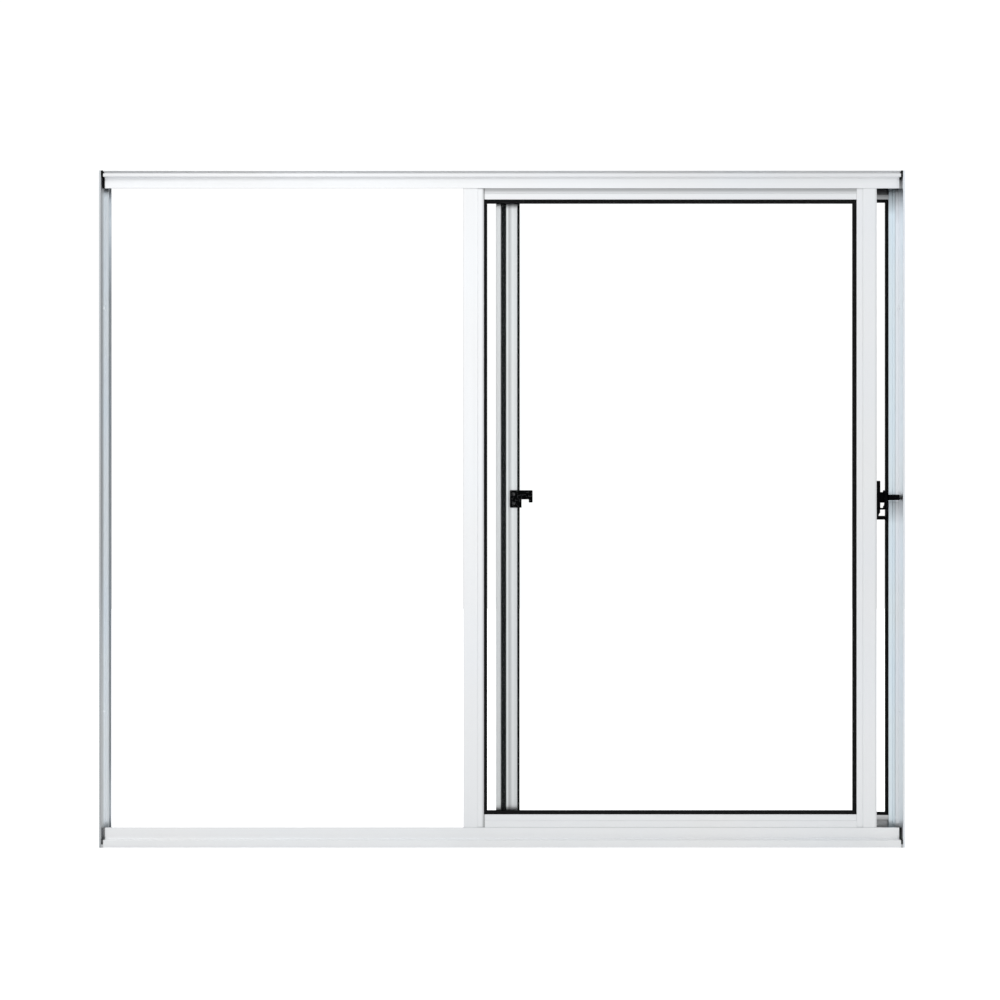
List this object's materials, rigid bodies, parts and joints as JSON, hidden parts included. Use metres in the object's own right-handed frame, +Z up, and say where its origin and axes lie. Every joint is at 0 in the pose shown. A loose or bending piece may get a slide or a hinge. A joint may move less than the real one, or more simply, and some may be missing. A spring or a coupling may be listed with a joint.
{
  "type": "sliding window",
  "caption": "Aluminium window whose glazed leaf slides in front of a fixed one, with black gaskets, corner pads and a crescent latch, standing open on its left half",
  "frame": {"origin": "middle of the sill's flat underside, half way across the width and the depth of the frame", "axes": "+X to the right as seen from the room, +Y from the room side to the outside, +Z up"},
  "size_m": [1.19, 0.053, 1],
  "materials": {
    "frame_aluminium": "satin silver anodised extrusion",
    "leaf_aluminium": "satin silver anodised extrusion",
    "glass": "clear float glass",
    "gasket_rubber": "matt black glazing channel",
    "seal_rubber": "matt black corner pad",
    "screw_steel": "bright zinc plated",
    "pile_fibre": "black woven pile",
    "nylon": "moulded black nylon",
    "latch_black": "satin black powder coat on a casting"
  },
  "bodies": {
    "root": {"head": "frame_aluminium", "sill": "frame_aluminium", "left_jamb": "frame_aluminium", "right_jamb": "frame_aluminium", "head_left_seal": "seal_rubber", "head_right_seal": "seal_rubber", "sill_left_seal": "seal_rubber", "sill_right_seal": "seal_rubber", "sliding_top_rail": "leaf_aluminium", "sliding_bottom_rail": "leaf_aluminium", "sliding_pull_stile": "leaf_aluminium", "sliding_meeting_stile": "leaf_aluminium", "sliding_glass": "glass", "sliding_gasket_left": "gasket_rubber", "sliding_gasket_right": "gasket_rubber", "sliding_gasket_bottom": "gasket_rubber", "sliding_gasket_top": "gasket_rubber", "fixed_top_rail": "leaf_aluminium", "fixed_bottom_rail": "leaf_aluminium", "fixed_meeting_stile": "leaf_aluminium", "fixed_jamb_stile": "leaf_aluminium", "fixed_glass": "glass", "fixed_gasket_left": "gasket_rubber", "fixed_gasket_right": "gasket_rubber", "fixed_gasket_bottom": "gasket_rubber", "fixed_gasket_top": "gasket_rubber", "meeting_pile": "pile_fibre", "roller_wheels": "nylon", "roller_housings": "nylon", "roller_axles": "screw_steel", "top_guides": "nylon", "fixed_setting_blocks": "nylon", "latch_body": "latch_black", "latch_cam": "latch_black", "latch_lever": "latch_black", "keeper": "latch_black"}
  },
  "joints": []
}
